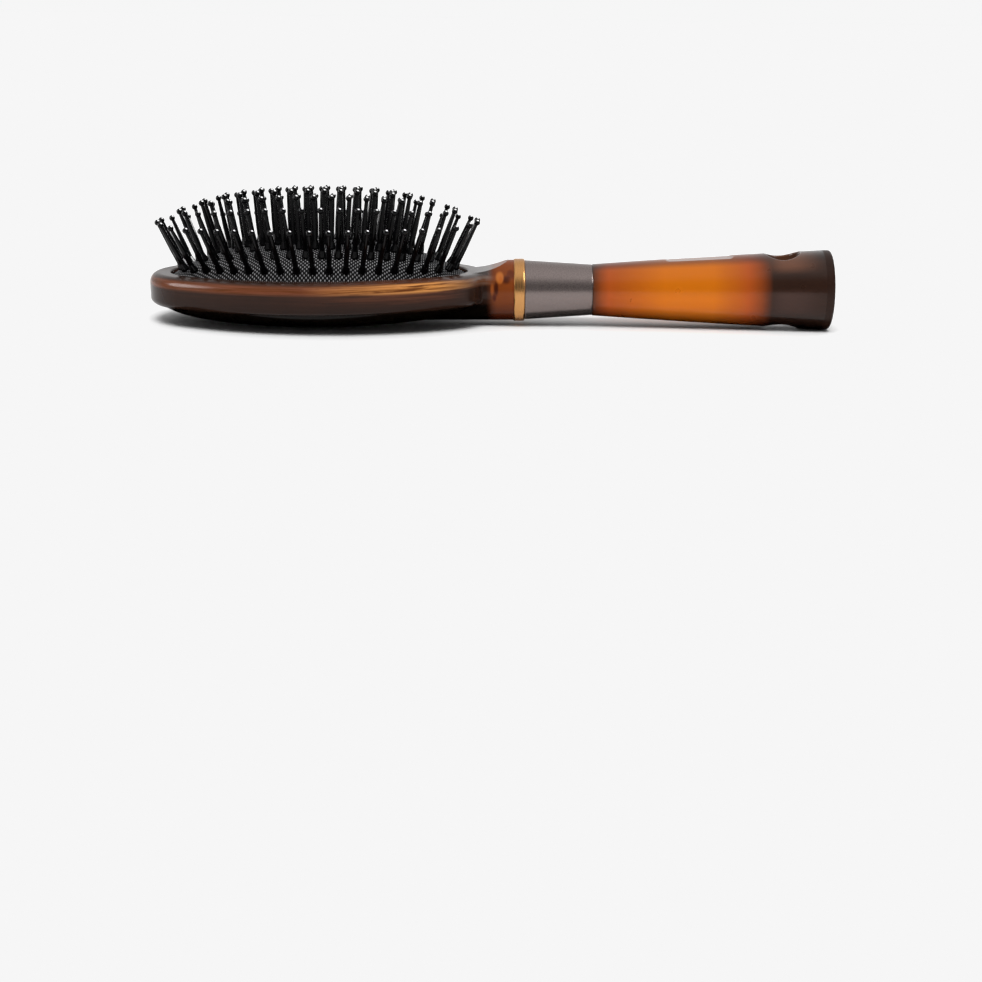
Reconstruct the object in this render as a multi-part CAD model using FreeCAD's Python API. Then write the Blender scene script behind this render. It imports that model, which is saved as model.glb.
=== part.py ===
import FreeCAD, Part
import math
import os

Vector = FreeCAD.Vector

# A paddle-shaped detangling brush, lying on its back with its pins up. All sizes are in millimetres.
# Stations run along the handle's axis from the tip of the head. Heights are above or below that axis.
# The finished pieces are moved so that the origin is under the middle of the brush.

# Head, seen from above
head_length = 118.0
head_width = 72.0
head_end_radius = 26.0
neck_length = 8.9
neck_radius = 10.5
neck_strip_half_width = 9.0
neck_flare_radius = 5.0

# Head, seen from the side
rim_height = 6.9
parting_height = 2.4
band_depth = 3.9
back_depth = 11.0
shoulder_round = 3.3
lower_edge_round = 2.4
back_dome_inset = 2.9
ramp_from_opening = 0.5
neck_top_length = 2.0

# Back shell and front frame walls
shell_wall = 2.2
floor_wall = 2.0
lip_width = 7.2
lip_thickness = 1.3
lip_edge_round = 0.6
rib_inset = 5.4
rib_wall = 1.5
locating_lip_wall = 0.8
locating_lip_depth = 1.4
fit_clearance = 0.1

# Rubber cushion
cushion_clearance = 0.3
cushion_wall = 1.7
flange_overlap = 3.4
flange_thickness = 1.4
crown_height = 17.0

# Pins
pin_length = 19.0
pin_ball_radius = 1.05
pin_tip_radius = 0.6
pin_shaft_radius = 0.9
pin_thick_length = 7.5
pin_foot_radius = 1.45
pin_foot_height = 0.5
pin_foot_taper = 2.2
pin_shank_radius = 0.8
pin_head_radius = 1.6
pin_head_thickness = 0.7
pin_hole_clearance = 0.15
pin_seat_clearance = 0.1
pin_pitch = 5.5
ring_spacing = 6.0
outer_ring_inset = 4.0

# Neck ring, collar and the core that joins them
ring_width = 3.8
ring_radius = 10.85
ring_edge_round = 0.5
collar_length = 23.6
collar_head_radius = 10.3
collar_handle_radius = 8.8
collar_edge_round = 0.3
core_radius = 5.6
core_wall = 2.2
core_in_neck = 7.2
core_in_handle = 4.4
core_flange_radius = 7.0
core_flange_thickness = 1.6
core_end_wall = 3.0
core_fit = 0.05

# Handle and its end plug
handle_length = 80.2
handle_neck_radius = 9.0
handle_end_radius = 13.8
handle_swell = 0.2
handle_wall = 2.4
handle_edge_round = 0.4
plug_head_length = 3.0
plug_head_dome = 0.5
plug_edge_round = 1.0
plug_depth = 20.5
plug_fit = 0.05
hang_hole_radius = 6.0
hang_hole_from_end = 17.2
hang_hole_edge_round = 0.6
flat_length = 26.5
flat_from_collar = 24.0
flat_depth = 0.5
flat_end_round = 3.0

# One overrun serves every cut that runs past a face
overrun = 1.0

# Shares of a form's own size: (how far out, how far down) along a crown, from its top to its edge
back_crown_shares = ((0.0, 0.0), (0.33, 0.0), (0.72, 0.0), (0.97, 0.5), (1.0, 1.0))
cushion_crown_shares = ((0.0, 0.0), (1 / 3, 0.0), (2 / 3, 0.0), (1.0, 1.0))
ring_end_share = 0.64
pin_lean_share = 0.86
flat_slope_share = 0.85

# Places worked out from the sizes above
half_length = head_length / 2
half_width = head_width / 2
head_middle = half_length
neck_end = head_length + neck_length
collar_start = neck_end + ring_width
collar_end = collar_start + collar_length
handle_end = collar_end + handle_length
overall_length = handle_end + plug_head_length + plug_head_dome
hang_hole_station = overall_length - hang_hole_from_end
lip_underside = rim_height - lip_thickness
flange_top = lip_underside - cushion_clearance
flange_underside = flange_top - flange_thickness
dome_inset = lip_width + cushion_clearance
up = Vector(0, 0, 1)
along = Vector(1, 0, 0)
axis_start = Vector(0, 0, 0)


class Oval:
    """Two small end arcs and two large side arcs, tangent where they meet, about the head's middle."""

    def __init__(self, length, width, end_radius):
        self.length = length
        self.width = width
        self.end_radius = end_radius
        self.end_centre = length - end_radius
        spare = self.end_centre ** 2 + width ** 2 - end_radius ** 2
        self.side_radius = spare / (2 * (width - end_radius))
        self.side_centre = self.side_radius - width
        self.turn = math.atan2(self.side_centre, self.end_centre)

    def inset(self, distance):
        return Oval(self.length - distance, self.width - distance, self.end_radius - distance)

    def joint(self, along_sign, across_sign, height):
        x = self.end_centre + self.end_radius * math.cos(self.turn)
        y = self.end_radius * math.sin(self.turn)
        return Vector(head_middle + along_sign * x, across_sign * y, height)

    def wire(self, height):
        corners = [self.joint(a, b, height) for a, b in ((1, -1), (1, 1), (-1, 1), (-1, -1))]
        middles = [
            Vector(head_middle + self.length, 0, height),
            Vector(head_middle, self.width, height),
            Vector(head_middle - self.length, 0, height),
            Vector(head_middle, -self.width, height),
        ]
        edges = []
        for i in range(4):
            edges.append(Part.Arc(corners[i], middles[i], corners[(i + 1) % 4]).toShape())
        return Part.Wire(edges)

    def holds(self, point):
        """Whether a point lies on this oval or inside it."""
        share = self.share_and_slope(point.x - head_middle, point.y)[0]
        return share < 1 + fit_clearance / self.length

    def block(self, low, high):
        return Part.Face(self.wire(low)).extrude(up * (high - low))

    def arc_poles(self):
        """The corner, the tangents' crossing and the next corner of each arc, with the middle weight."""
        tangent_x = self.end_centre + self.end_radius / math.cos(self.turn)
        tangent_y = self.side_radius / math.sin(self.turn) - self.side_centre
        corner = self.joint(1, 1, 0) - Vector(head_middle, 0, 0)
        x, y = corner.x, corner.y
        return (
            (((x, -y), (tangent_x, 0), (x, y)), math.cos(self.turn)),
            (((x, y), (0, tangent_y), (-x, y)), math.sin(self.turn)),
            (((-x, y), (-tangent_x, 0), (-x, -y)), math.cos(self.turn)),
            (((-x, -y), (0, -tangent_y), (x, -y)), math.sin(self.turn)),
        )

    def crown(self, crown_shares, base, top):
        """A closed dome on this oval: smaller copies of the oval rise along one smooth curve."""
        faces = []
        for arc, weight in self.arc_poles():
            poles = []
            weights = []
            for x, y in arc:
                row = []
                for out, down in crown_shares:
                    row.append(Vector(head_middle + x * out, y * out, top + (base - top) * down))
                poles.append(row)
            for middle in (1.0, weight, 1.0):
                weights.append([middle] * len(crown_shares))
            patch = Part.BSplineSurface()
            ends_u = [3, 3]
            ends_v = [len(crown_shares)] * 2
            patch.buildFromPolesMultsKnots(
                poles, ends_u, ends_v, [0, 1], [0, 1], False, False, 2, len(crown_shares) - 1, weights
            )
            faces.append(patch.toShape())
        faces.append(Part.Face(self.wire(base)))
        shell = Part.Compound(faces)
        shell.sewShape()
        solid = Part.Solid(shell.Shells[0])
        if solid.Volume < 0:
            solid.reverse()
        return solid

    def share_and_slope(self, x, y):
        """How far out a place lies on its smaller copy of the oval, and how fast that share grows."""
        angle = math.atan2(abs(y), abs(x))
        corner = self.joint(1, 1, 0) - Vector(head_middle, 0, 0)
        if angle < math.atan2(corner.y, corner.x):
            centre = (self.end_centre, 0)
            radius = self.end_radius
        else:
            centre = (0, -self.side_centre)
            radius = self.side_radius
        towards = centre[0] * math.cos(angle) + centre[1] * math.sin(angle)
        aside = centre[0] * math.sin(angle) - centre[1] * math.cos(angle)
        reach = towards + math.sqrt(radius ** 2 - aside ** 2)
        hit = (reach * math.cos(angle), reach * math.sin(angle))
        normal = ((hit[0] - centre[0]) / radius, (hit[1] - centre[1]) / radius)
        support = normal[0] * hit[0] + normal[1] * hit[1]
        share = math.hypot(x, y) / reach
        grow_x = math.copysign(normal[0] / support, x)
        grow_y = math.copysign(normal[1] / support, y)
        return share, grow_x, grow_y


head_oval = Oval(half_length, half_width, head_end_radius)
opening_oval = head_oval.inset(lip_width)
cushion_oval = head_oval.inset(dome_inset)


def disc(station, radius, length):
    """A round bar along the handle's axis."""
    return Part.makeCylinder(radius, length, Vector(station, 0, 0), along)


def spun(outline):
    """A solid of revolution about the handle's axis, from a closed list of edges."""
    solid = Part.Face(Part.Wire(outline)).revolve(axis_start, along, 360)
    if solid.Volume < 0:
        solid.reverse()
    return solid


def at(station, radius):
    return Vector(station, 0, radius)


def head_outline(height):
    """The head's oval with the strip of its neck, flared into the oval by two hollow arcs."""
    oval = head_oval
    reach = oval.end_radius + neck_flare_radius
    rise = neck_strip_half_width + neck_flare_radius
    flare_x = oval.end_centre + math.sqrt(reach ** 2 - rise ** 2)
    touch_share = oval.end_radius / reach
    touch_x = oval.end_centre + (flare_x - oval.end_centre) * touch_share
    touch_y = rise * touch_share
    end_x = oval.end_centre
    bisector = math.atan2(touch_y, touch_x - end_x)
    end_angle = (bisector + oval.turn) / 2
    end_middle_x = end_x + oval.end_radius * math.cos(end_angle)
    end_middle_y = oval.end_radius * math.sin(end_angle)
    flare_angle = (math.pi / 2 + bisector) / 2
    flare_middle_x = flare_x - neck_flare_radius * math.cos(flare_angle)
    flare_middle_y = rise - neck_flare_radius * math.sin(flare_angle)

    def spot(x, y):
        return Vector(head_middle + x, y, height)

    strip_x = neck_end - head_middle
    edges = [Part.makeLine(spot(strip_x, -neck_strip_half_width), spot(strip_x, neck_strip_half_width))]
    edges.append(Part.makeLine(spot(strip_x, neck_strip_half_width), spot(flare_x, neck_strip_half_width)))
    edges.append(
        Part.Arc(
            spot(flare_x, neck_strip_half_width),
            spot(flare_middle_x, flare_middle_y),
            spot(touch_x, touch_y),
        ).toShape()
    )
    corner = oval.joint(1, 1, height)
    far_corner = oval.joint(-1, 1, height)
    near_corner = oval.joint(-1, -1, height)
    last_corner = oval.joint(1, -1, height)
    edges.append(Part.Arc(spot(touch_x, touch_y), spot(end_middle_x, end_middle_y), corner).toShape())
    edges.append(Part.Arc(corner, spot(0, oval.width), far_corner).toShape())
    edges.append(Part.Arc(far_corner, spot(-oval.length, 0), near_corner).toShape())
    edges.append(Part.Arc(near_corner, spot(0, -oval.width), last_corner).toShape())
    edges.append(Part.Arc(last_corner, spot(end_middle_x, -end_middle_y), spot(touch_x, -touch_y)).toShape())
    edges.append(
        Part.Arc(
            spot(touch_x, -touch_y),
            spot(flare_middle_x, -flare_middle_y),
            spot(flare_x, -neck_strip_half_width),
        ).toShape()
    )
    edges.append(Part.makeLine(spot(flare_x, -neck_strip_half_width), spot(strip_x, -neck_strip_half_width)))
    return Part.Wire(edges)


def head_slab(low, high, rounded_height, rounding):
    """The head's outline between two heights, with the outer edge rounded at one of them."""
    slab = Part.Face(head_outline(low)).extrude(up * (high - low))
    edges = []
    for edge in slab.Edges:
        box = edge.BoundBox
        flat = box.ZLength < fit_clearance
        at_height = abs(box.ZMin - rounded_height) < fit_clearance
        at_neck_end = box.XMin > neck_end - fit_clearance
        if flat and at_height and not at_neck_end:
            edges.append(edge)
    return slab.makeFillet(rounding, edges)


def under_ramp():
    """All that lies below the front face of the head and the hollow ramp that climbs to the neck."""
    start = head_length - lip_width + ramp_from_opening
    end = neck_end - neck_top_length
    run = end - start
    rise = neck_radius - rim_height
    radius = (run ** 2 + rise ** 2) / (2 * rise)
    half_turn = math.asin(run / radius) / 2
    side = -half_width
    low = -neck_radius
    corners = [
        Vector(0, side, low),
        Vector(0, side, rim_height),
        Vector(start, side, rim_height),
        Vector(end, side, neck_radius),
        Vector(neck_end, side, neck_radius),
        Vector(neck_end, side, low),
    ]
    on_ramp = Vector(
        start + radius * math.sin(half_turn), side, rim_height + radius * (1 - math.cos(half_turn))
    )
    edges = [Part.makeLine(corners[0], corners[1])]
    edges.append(Part.makeLine(corners[1], corners[2]))
    edges.append(Part.Arc(corners[2], on_ramp, corners[3]).toShape())
    edges.append(Part.makeLine(corners[3], corners[4]))
    edges.append(Part.makeLine(corners[4], corners[5]))
    edges.append(Part.makeLine(corners[5], corners[0]))
    return Part.Face(Part.Wire(edges)).extrude(Vector(0, head_width, 0))


def neck_bar(start):
    return disc(start, neck_radius, neck_end - start)


def core_pocket():
    """The space in the neck for the core, open upwards so that the core drops in before the frame."""
    start = neck_end - core_in_neck
    shaft = core_radius + core_fit
    flange = core_flange_radius + fit_clearance
    flange_length = core_flange_thickness + 2 * fit_clearance
    pocket = disc(start - fit_clearance, flange, flange_length)
    shaft_slot = Part.makeBox(
        core_in_neck + overrun, 2 * shaft, parting_height, Vector(start, -shaft, 0)
    )
    flange_slot = Part.makeBox(
        flange_length, 2 * flange, parting_height, Vector(start - fit_clearance, -flange, 0)
    )
    return pocket.fuse([disc(start, shaft, core_in_neck + overrun), shaft_slot, flange_slot])


def back_shell():
    """The back half of the head, with the neck's lower part and the air chamber under the cushion."""
    slab = head_slab(-band_depth, parting_height, -band_depth, lower_edge_round)
    dome = head_oval.inset(back_dome_inset).crown(back_crown_shares, -band_depth + overrun, -back_depth)
    shell = slab.fuse([dome, neck_bar(head_length - head_end_radius)]).removeSplitter()
    above = Part.makeBox(
        neck_end + overrun, head_width, neck_radius, Vector(0, -half_width, parting_height)
    )
    shell = shell.cut(above)
    chamber = head_oval.inset(shell_wall).block(-band_depth + floor_wall, flange_underside)
    floor = head_oval.inset(back_dome_inset + shell_wall).crown(
        back_crown_shares, -band_depth + floor_wall + overrun, -back_depth + floor_wall
    )
    chamber = chamber.fuse(floor)
    shell = shell.cut(chamber)
    rib_outer = head_oval.inset(rib_inset).block(-back_depth, flange_underside - cushion_clearance)
    rib_inner = head_oval.inset(rib_inset + rib_wall).block(-back_depth - overrun, flange_underside)
    rib = rib_outer.cut(rib_inner).common(chamber)
    return shell.fuse(rib).cut(core_pocket()).removeSplitter()


def front_frame():
    """The frame round the cushion, whose tongue runs up the neck and closes over the core."""
    slab = head_slab(parting_height, rim_height, rim_height, shoulder_round)
    neck = neck_bar(head_length - head_end_radius / 2)
    below = Part.makeBox(
        overall_length, head_width, 2 * neck_radius,
        Vector(0, -half_width, parting_height - 2 * neck_radius),
    )
    frame = slab.fuse(neck.cut(below)).common(under_ramp())
    frame = frame.cut(opening_oval.block(parting_height - overrun, rim_height + overrun))
    lip_edges = [
        e for e in frame.Edges
        if abs(e.BoundBox.ZMin - rim_height) < fit_clearance and e.BoundBox.ZLength < fit_clearance
        and opening_oval.holds(e.valueAt((e.FirstParameter + e.LastParameter) / 2))
    ]
    frame = frame.makeFillet(lip_edge_round, lip_edges)
    frame = frame.cut(head_oval.inset(shell_wall).block(parting_height - overrun, lip_underside))
    lip_outer = head_oval.inset(shell_wall + fit_clearance)
    low = parting_height - locating_lip_depth
    lip = lip_outer.block(low, lip_underside)
    lip = lip.cut(lip_outer.inset(locating_lip_wall).block(low - overrun, rim_height))
    return frame.fuse(lip).cut(core_pocket()).removeSplitter()


def cushion_height(x, y):
    """The height of the cushion's outer face over a place measured from the head's middle."""
    share, grow_x, grow_y = cushion_oval.share_and_slope(x, y)
    rise = crown_height - flange_top
    height = crown_height - rise * share ** 3
    fall = 3 * rise * share ** 2
    normal = Vector(fall * grow_x, fall * grow_y, 1)
    normal.normalize()
    return height, normal


def pin():
    """One pin, foot on the origin, standing up: head under the rubber, shank, foot, shaft and ball."""
    head_top = -cushion_wall - pin_seat_clearance
    ball_height = pin_length - pin_ball_radius
    neck_height = ball_height - math.sqrt(pin_ball_radius ** 2 - pin_tip_radius ** 2)
    foot_top = pin_seat_clearance + pin_foot_height
    points = [
        Vector(0, 0, head_top - pin_head_thickness),
        Vector(pin_head_radius, 0, head_top - pin_head_thickness),
        Vector(pin_head_radius, 0, head_top),
        Vector(pin_shank_radius, 0, head_top),
        Vector(pin_shank_radius, 0, pin_seat_clearance),
        Vector(pin_foot_radius, 0, pin_seat_clearance),
        Vector(pin_foot_radius, 0, foot_top),
        Vector(pin_shaft_radius, 0, foot_top + pin_foot_taper),
        Vector(pin_shaft_radius, 0, pin_thick_length),
        Vector(pin_tip_radius, 0, neck_height),
    ]
    edges = [Part.makeLine(points[i], points[i + 1]) for i in range(len(points) - 1)]
    side = Vector(pin_ball_radius, 0, ball_height)
    top = Vector(0, 0, pin_length)
    edges.append(Part.Arc(points[-1], side, top).toShape())
    edges.append(Part.makeLine(top, points[0]))
    return Part.Face(Part.Wire(edges)).revolve(Vector(0, 0, 0), up, 360)


def ring_places(number):
    """Evenly spaced places round one ring of pins, the same on both sides. Ring 0 is the outer one."""
    inset = outer_ring_inset + number * ring_spacing
    length = cushion_oval.length - inset
    width = cushion_oval.width - inset
    wire = Oval(length, width, width * ring_end_share).wire(0)
    count = 2 * round(wire.Length / pin_pitch / 2)
    side_middle = wire.OrderedEdges[0].Length + wire.OrderedEdges[1].Length / 2
    stagger = wire.Length / count / 2 * (number % 2)
    places = []
    for i in range(count):
        distance = (side_middle + i * wire.Length / count + stagger) % wire.Length
        for edge in wire.OrderedEdges:
            if distance <= edge.Length:
                break
            distance -= edge.Length
        point = edge.valueAt(edge.getParameterByLength(distance))
        places.append((point.x - head_middle, point.y))
    return places


def centre_places():
    """The single row of pins along the middle of the cushion."""
    half_row = cushion_oval.length - outer_ring_inset - 4 * ring_spacing
    count = round(2 * half_row / pin_pitch)
    return [(-half_row + i * 2 * half_row / count, 0.0) for i in range(count + 1)]


def stood_on_cushion(shape, place):
    height, normal = cushion_height(place[0], place[1])
    leaned = Vector(pin_lean_share * normal.x, pin_lean_share * normal.y, normal.z)
    stood = shape.copy()
    foot = Vector(head_middle + place[0], place[1], height)
    stood.Placement = FreeCAD.Placement(foot, FreeCAD.Rotation(up, leaned))
    return stood


def pins(places):
    one = pin()
    return Part.makeCompound([stood_on_cushion(one, place) for place in places])


def cushion_pad(all_places):
    """The air cushion: a domed rubber sheet with a flange, and a hole and a flat seat for each pin."""
    outer = cushion_oval.crown(cushion_crown_shares, flange_top, crown_height)
    flange = head_oval.inset(lip_width - flange_overlap).block(flange_underside, flange_top)
    inner_oval = cushion_oval.inset(cushion_wall)
    inner = inner_oval.crown(cushion_crown_shares, flange_top - overrun, crown_height - cushion_wall)
    well = inner_oval.block(flange_underside - overrun, flange_top - overrun)
    pad = outer.fuse(flange).cut(inner).cut(well)
    radius = pin_shank_radius + pin_hole_clearance
    hole = Part.makeCylinder(radius, 4 * cushion_wall, Vector(0, 0, -2 * cushion_wall))
    pad = pad.cut([stood_on_cushion(hole, place) for place in all_places])
    seat_radius = pin_head_radius + pin_hole_clearance
    seat = Part.makeCylinder(seat_radius, 2 * cushion_wall, Vector(0, 0, -3 * cushion_wall))
    return pad.cut([stood_on_cushion(seat, place) for place in all_places])


def neck_ring():
    """The bright trim ring between the neck and the collar."""
    ring = disc(neck_end, ring_radius, ring_width)
    ring = ring.makeFillet(ring_edge_round, [e for e in ring.Edges if e.Closed])
    return ring.cut(disc(neck_end - overrun, core_radius + core_fit, ring_width + 2 * overrun))


def collar():
    """The collar, a cone that narrows from the ring to the handle."""
    cone = Part.makeCone(collar_head_radius, collar_handle_radius, collar_length, at(collar_start, 0), along)
    cone = cone.makeFillet(collar_edge_round, [e for e in cone.Edges if e.Closed])
    return cone.cut(disc(collar_start - overrun, core_radius + core_fit, collar_length + 2 * overrun))


def joining_core():
    """The core that joins head and handle, held in the neck by its flange."""
    start = neck_end - core_in_neck
    end = collar_end + core_in_handle
    core = disc(start, core_radius, end - start)
    flange = disc(start, core_flange_radius, core_flange_thickness)
    bore = disc(start - overrun, core_radius - core_wall, end - core_end_wall - start + overrun)
    return core.fuse(flange).cut(bore).removeSplitter()


def handle_form(inset, rounding):
    """The handle's round form from end to end, shrunk by a wall: a slightly swollen cone."""
    start = at(collar_end + rounding, handle_neck_radius - inset)
    end = at(handle_end, handle_end_radius - inset)
    middle = (start + end) / 2 + Vector(0, 0, handle_swell)
    front = at(collar_end, 0)
    outline = [Part.Arc(start, middle, end).toShape()]
    outline.append(Part.makeLine(end, at(handle_end, 0)))
    outline.append(Part.makeLine(at(handle_end, 0), front))
    if rounding > 0:
        rim = at(collar_end, start.z - rounding)
        cut_in = rounding * (1 - math.sqrt(1 / 2))
        outline.append(Part.makeLine(front, rim))
        outline.append(Part.Arc(rim, at(collar_end + cut_in, start.z - cut_in), start).toShape())
    else:
        outline.append(Part.makeLine(front, start))
    return spun(outline)


def hang_hole():
    return Part.makeCylinder(
        hang_hole_radius, 2 * handle_end_radius + 2 * overrun,
        Vector(hang_hole_station, 0, -handle_end_radius - overrun),
    )


def thumb_flat():
    """The flat on the pin side of the handle, cut along its taper with rounded ends."""
    start = collar_end + flat_from_collar
    slope = (handle_end_radius - handle_neck_radius) / handle_length
    floor = handle_neck_radius + handle_swell + slope * flat_from_collar - flat_depth
    tool = Part.makeBox(
        flat_length, 2 * handle_end_radius, handle_end_radius, Vector(0, -handle_end_radius, 0)
    )
    ends = [e for e in tool.Edges if e.BoundBox.ZMax < overrun and e.BoundBox.XLength < overrun]
    tool = tool.makeFillet(flat_end_round, ends)
    lean = math.degrees(math.atan(slope * flat_slope_share))
    tool.Placement = FreeCAD.Placement(at(start, floor), FreeCAD.Rotation(Vector(0, 1, 0), -lean))
    return tool


def handle_tube():
    """The hollow handle, open at both ends, with the flat and the hang hole."""
    tube = handle_form(0, handle_edge_round).cut(thumb_flat())
    tube = tube.cut(hang_hole())
    mouth = [
        e for e in tube.Edges
        if abs(e.BoundBox.Center.x - hang_hole_station) < overrun and e.BoundBox.YLength > hang_hole_radius
        and e.BoundBox.XLength > hang_hole_radius
    ]
    tube = tube.makeFillet(hang_hole_edge_round, mouth)
    hollow_start = collar_end + core_in_handle
    hollow = handle_form(handle_wall, 0).common(
        disc(hollow_start, handle_end_radius, handle_end - hollow_start)
    )
    bore = disc(collar_end - overrun, core_radius + core_fit, core_in_handle + 2 * overrun)
    return tube.cut(hollow.fuse(bore))


def end_plug():
    """The dark plug that closes the handle, with its rounded head and the hang hole."""
    body = handle_form(handle_wall + plug_fit, 0).common(
        disc(handle_end - plug_depth, handle_end_radius, plug_depth + overrun)
    )
    head_face = handle_end + plug_head_length
    rim = at(head_face, handle_end_radius - plug_edge_round)
    shoulder = at(head_face - plug_edge_round, handle_end_radius)
    corner_turn = math.sqrt(1 / 2)
    corner = at(
        head_face - plug_edge_round + plug_edge_round * corner_turn,
        handle_end_radius - plug_edge_round + plug_edge_round * corner_turn,
    )
    apex = at(overall_length, 0)
    dome_radius = (rim.z ** 2 + plug_head_dome ** 2) / (2 * plug_head_dome)
    half_turn = math.asin(rim.z / dome_radius) / 2
    dome_middle = at(
        overall_length - dome_radius * (1 - math.cos(half_turn)), dome_radius * math.sin(half_turn)
    )
    head = spun([
        Part.makeLine(at(handle_end, 0), at(handle_end, handle_end_radius)),
        Part.makeLine(at(handle_end, handle_end_radius), shoulder),
        Part.Arc(shoulder, corner, rim).toShape(),
        Part.Arc(rim, dome_middle, apex).toShape(),
        Part.makeLine(apex, at(handle_end, 0)),
    ])
    return body.fuse(head).cut(hang_hole()).removeSplitter()


def save(node, shape):
    """Moves a finished piece so that the brush stands on its origin, and writes it."""
    placed = shape.copy()
    placed.translate(Vector(-overall_length / 2, 0, handle_end_radius))
    placed.exportStep("parts/" + node + ".step")
    print(node, "solids", len(placed.Solids), "valid", placed.isValid(), "volume", round(placed.Volume, 1))


os.makedirs("parts", exist_ok=True)

pin_rows = {
    "pins_outer_ring": ring_places(0),
    "pins_second_ring": ring_places(1),
    "pins_third_ring": ring_places(2),
    "pins_inner_ring": ring_places(3),
    "pins_centre_row": centre_places(),
}
all_places = [place for places in pin_rows.values() for place in places]

save("back_shell", back_shell())
save("front_frame", front_frame())
save("cushion_pad", cushion_pad(all_places))
for node, places in pin_rows.items():
    save(node, pins(places))
save("neck_ring", neck_ring())
save("collar", collar())
save("joining_core", joining_core())
save("handle_tube", handle_tube())
save("end_plug", end_plug())
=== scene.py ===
# %% [markdown]
# # A detangling brush, dressed for a picture
# This notebook takes the measured model of an oval paddle brush and gives it the finishes of the real one.
# The model comes in as a fixed frame. Every piece in it has its true place, so nothing is fitted by eye.

# %% Load the measured model
import bpy
import math
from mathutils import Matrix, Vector


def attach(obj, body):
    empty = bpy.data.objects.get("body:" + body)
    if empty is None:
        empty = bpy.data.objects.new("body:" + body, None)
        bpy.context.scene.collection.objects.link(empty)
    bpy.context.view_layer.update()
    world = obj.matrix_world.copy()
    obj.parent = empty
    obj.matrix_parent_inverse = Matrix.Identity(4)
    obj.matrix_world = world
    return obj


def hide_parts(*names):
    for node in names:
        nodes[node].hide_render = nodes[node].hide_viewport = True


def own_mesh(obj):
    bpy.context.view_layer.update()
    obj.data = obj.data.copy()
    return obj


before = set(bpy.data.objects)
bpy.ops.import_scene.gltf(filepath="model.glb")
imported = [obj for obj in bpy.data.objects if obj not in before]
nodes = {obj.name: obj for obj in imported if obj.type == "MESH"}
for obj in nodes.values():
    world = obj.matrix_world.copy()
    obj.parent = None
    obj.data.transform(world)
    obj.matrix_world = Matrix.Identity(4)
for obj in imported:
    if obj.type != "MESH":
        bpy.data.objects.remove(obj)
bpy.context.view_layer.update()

bpy.ops.object.select_all(action="DESELECT")

# %% [markdown]
# ## Units
# The model is in metres, and small things are easier to think of in millimetres.
# One name turns a number of millimetres into metres, and one function turns the hex colours that painters
# and photographers use into the linear colours that a renderer adds up.

# %% Units and colours
mm = 0.001
sRGB_toe = 0.04045
sRGB_toe_slope = 12.92
sRGB_offset = 0.055
sRGB_gamma = 2.4


def linear(hex_colour):
    """A linear red, green, blue and alpha from a colour such as C8620F."""
    channels = []
    for start in (0, 2, 4):
        value = int(hex_colour[start:start + 2], 16) / 255
        if value <= sRGB_toe:
            channels.append(value / sRGB_toe_slope)
        else:
            channels.append(((value + sRGB_offset) / (1 + sRGB_offset)) ** sRGB_gamma)
    return (*channels, 1.0)


def add_node(tree, kind, fields=None, values=None, links=None):
    """One node with its own settings, the values of its inputs, and what feeds them."""
    made = tree.nodes.new(kind)
    for name, value in (fields or {}).items():
        setattr(made, name, value)
    for name, value in (values or {}).items():
        made.inputs[name].default_value = value
    for name, source in (links or {}).items():
        tree.links.new(source, made.inputs[name])
    return made


def new_finish(name):
    """An empty material with its object coordinates and its output ready."""
    finish = bpy.data.materials.new(name)
    finish.use_nodes = True
    finish.node_tree.nodes.clear()
    place = add_node(finish.node_tree, "ShaderNodeTexCoord").outputs["Object"]
    out = add_node(finish.node_tree, "ShaderNodeOutputMaterial")
    return finish, finish.node_tree, place, out


print("a mid amber is", [round(c, 3) for c in linear("C8620F")])

# %% [markdown]
# ## Clear amber plastic
# The handle is a tube of clear acrylic with a brown-orange dye and a satin surface. A dye works by depth:
# blue light is gone after a millimetre, green after a few, and red goes on for longer. That is the volume
# absorption here, with a strength for each colour per millimetre.
#
# Most of the light is scattered in the wall, so the skin carries most of the colour. A ramp with four
# chosen colours runs along the handle: brown over the core, amber in the hollow middle, brown over the plug.
# Only a small share of the light goes straight through, and it changes slowly. Clear zones beside closed
# ones would show as blotches.
#
# The colour also changes with the height on the tube, as painted light and shade. It is darkest at the top
# and the bottom edge, where light has the longest way through the wall, and lightest just below the middle,
# where the table lights it.
# A thin coat on top gives the sharp part of the gloss, and the rough base under it the satin part.

# %% Clear amber plastic
acrylic_ior = 1.49
skin_dim = 0.2
coat_ior = 1.2
coat_roughness = 0.04
noise_low = 0.3
noise_high = 0.7
orange_peel = 0.35 * mm
satin_patch = 9 * mm
satin_change = 0.03


def patch(tree, value, low, high, start=0.0, end=1.0):
    """A soft step of a coordinate, from start to end between two places."""
    step = add_node(
        tree, "ShaderNodeMapRange", {"interpolation_type": "SMOOTHSTEP"},
        {"From Min": low, "From Max": high, "To Min": start, "To Max": end}, {"Value": value},
    )
    return step.outputs["Result"]


def worked(tree, operation, first, second):
    """One sum of two values, each a number or a socket."""
    values = {}
    links = {}
    for socket, value in ((0, first), (1, second)):
        if isinstance(value, float):
            values[socket] = value
        else:
            links[socket] = value
    return add_node(tree, "ShaderNodeMath", {"operation": operation}, values, links).outputs[0]


def ramp(tree, value, ends, stops):
    """A colour that changes along a coordinate, by stops at shares of its range."""
    share = add_node(
        tree, "ShaderNodeMapRange", None, {"From Min": ends[0], "From Max": ends[1]}, {"Value": value},
    )
    colours = add_node(tree, "ShaderNodeValToRGB", None, None, {"Fac": share.outputs["Result"]})
    band = colours.color_ramp
    while len(band.elements) < len(stops):
        band.elements.new(0.5)
    for element, stop in zip(band.elements, stops):
        element.position = stop[0]
        element.color = linear(stop[1])
    return colours.outputs["Color"]


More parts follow.
